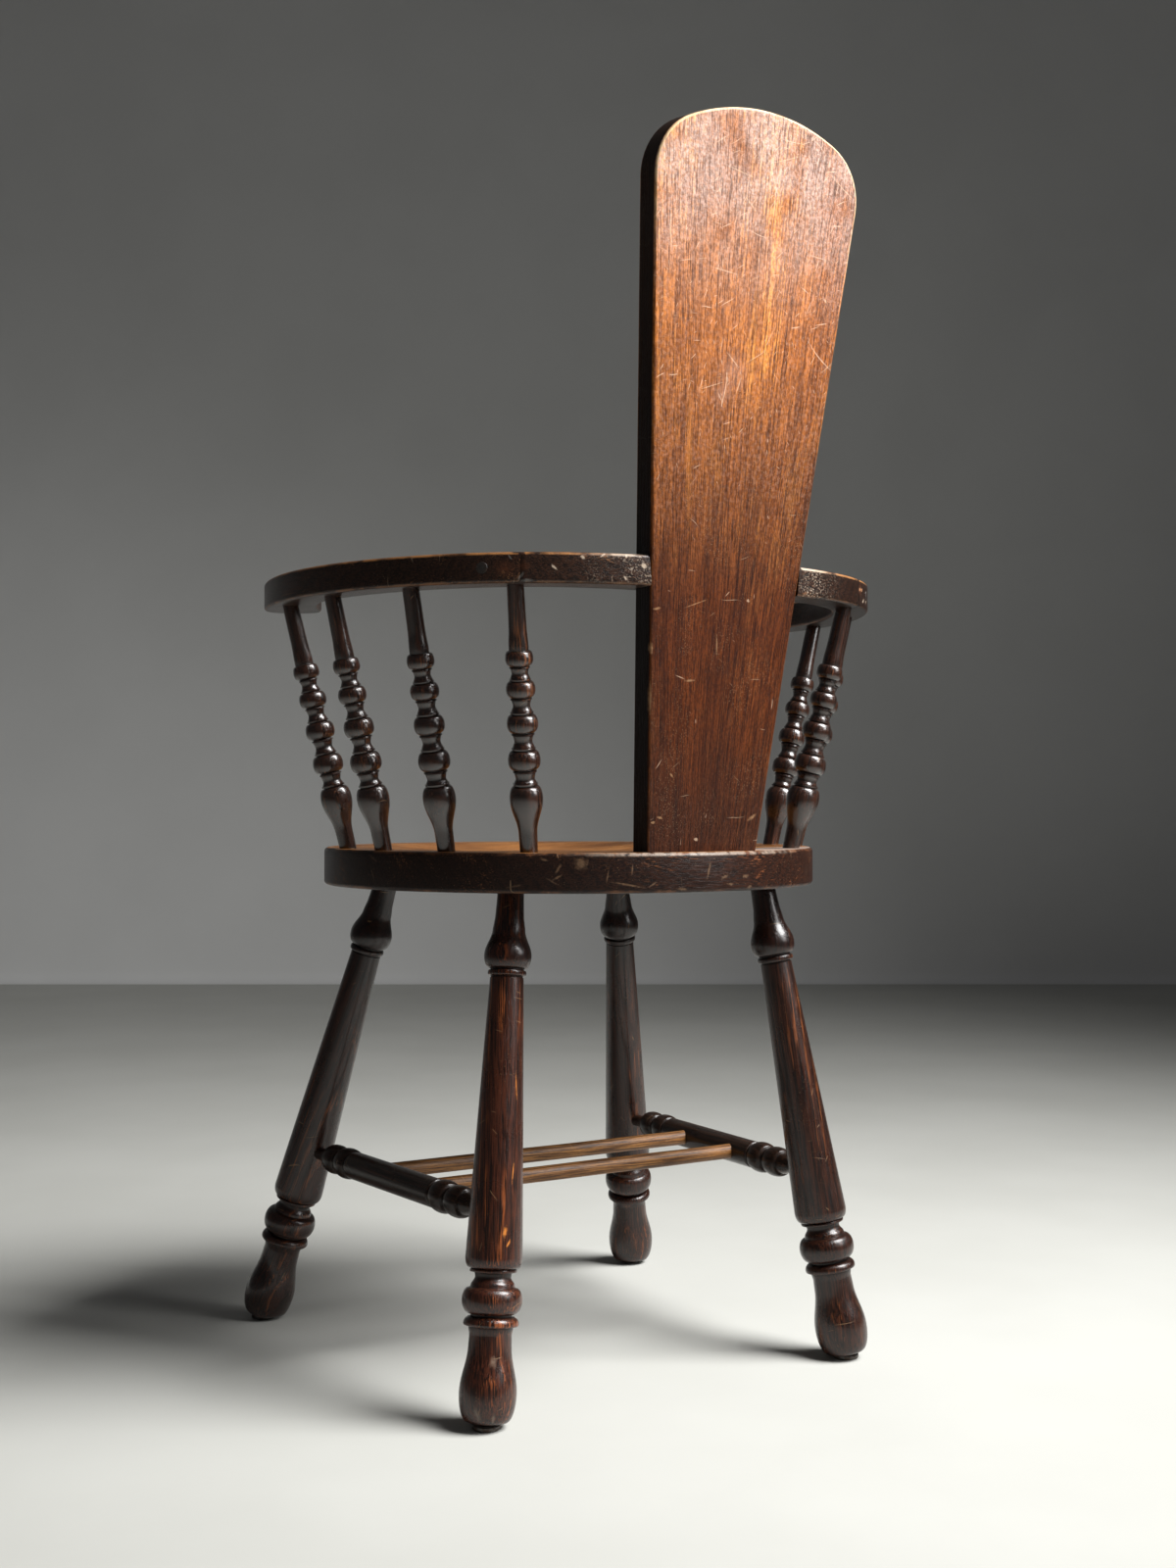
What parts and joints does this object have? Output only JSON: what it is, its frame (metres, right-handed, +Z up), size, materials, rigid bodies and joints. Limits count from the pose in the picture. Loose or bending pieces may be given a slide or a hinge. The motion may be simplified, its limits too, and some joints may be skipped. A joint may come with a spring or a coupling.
{
  "type": "bobbin armchair",
  "caption": "Wooden armchair with a round dished seat on splayed turned legs, bobbin-turned spindles under a curved arm bow, and a tall plank back that widens upwards.",
  "frame": {"origin": "on the floor, under the middle of the chair's box", "axes": "+Z up, the sitter faces -Y, +X is the sitter's left"},
  "size_m": [0.5404, 0.5262, 1.0227],
  "materials": {
    "seat_wood": "dark stain under worn varnish",
    "plank_wood": "red-brown stain under worn satin varnish",
    "bow_wood": "dark stain under worn varnish",
    "spindle_wood": "dark stain under gloss varnish",
    "leg_wood": "dark stain under gloss varnish with worn streaks",
    "stretcher_wood": "near-black stain under gloss varnish",
    "rod_wood": "worn golden brown, satin",
    "plug_wood": "dark end grain",
    "screw_steel": "bare steel",
    "glide_metal": "dark worn steel"
  },
  "bodies": {
    "root": {"seat_board": "seat_wood", "back_plank": "plank_wood", "back_rail": "bow_wood", "arm_left": "bow_wood", "arm_right": "bow_wood", "spindle_left_1": "spindle_wood", "spindle_left_2": "spindle_wood", "spindle_left_3": "spindle_wood", "spindle_left_4": "spindle_wood", "spindle_right_1": "spindle_wood", "spindle_right_2": "spindle_wood", "spindle_right_3": "spindle_wood", "spindle_right_4": "spindle_wood", "leg_front_left": "leg_wood", "leg_front_right": "leg_wood", "leg_back_left": "leg_wood", "leg_back_right": "leg_wood", "side_stretcher_left": "stretcher_wood", "side_stretcher_right": "stretcher_wood", "cross_rod_front": "rod_wood", "cross_rod_back": "rod_wood", "foot_glide_front_left": "glide_metal", "foot_glide_front_right": "glide_metal", "foot_glide_back_left": "glide_metal", "foot_glide_back_right": "glide_metal", "scarf_plug_left": "plug_wood", "scarf_plug_right": "plug_wood", "scarf_screw_left": "screw_steel", "scarf_screw_right": "screw_steel", "rail_screw_left": "screw_steel", "rail_screw_right": "screw_steel", "seat_screw_left": "screw_steel", "seat_screw_right": "screw_steel"}
  },
  "joints": []
}
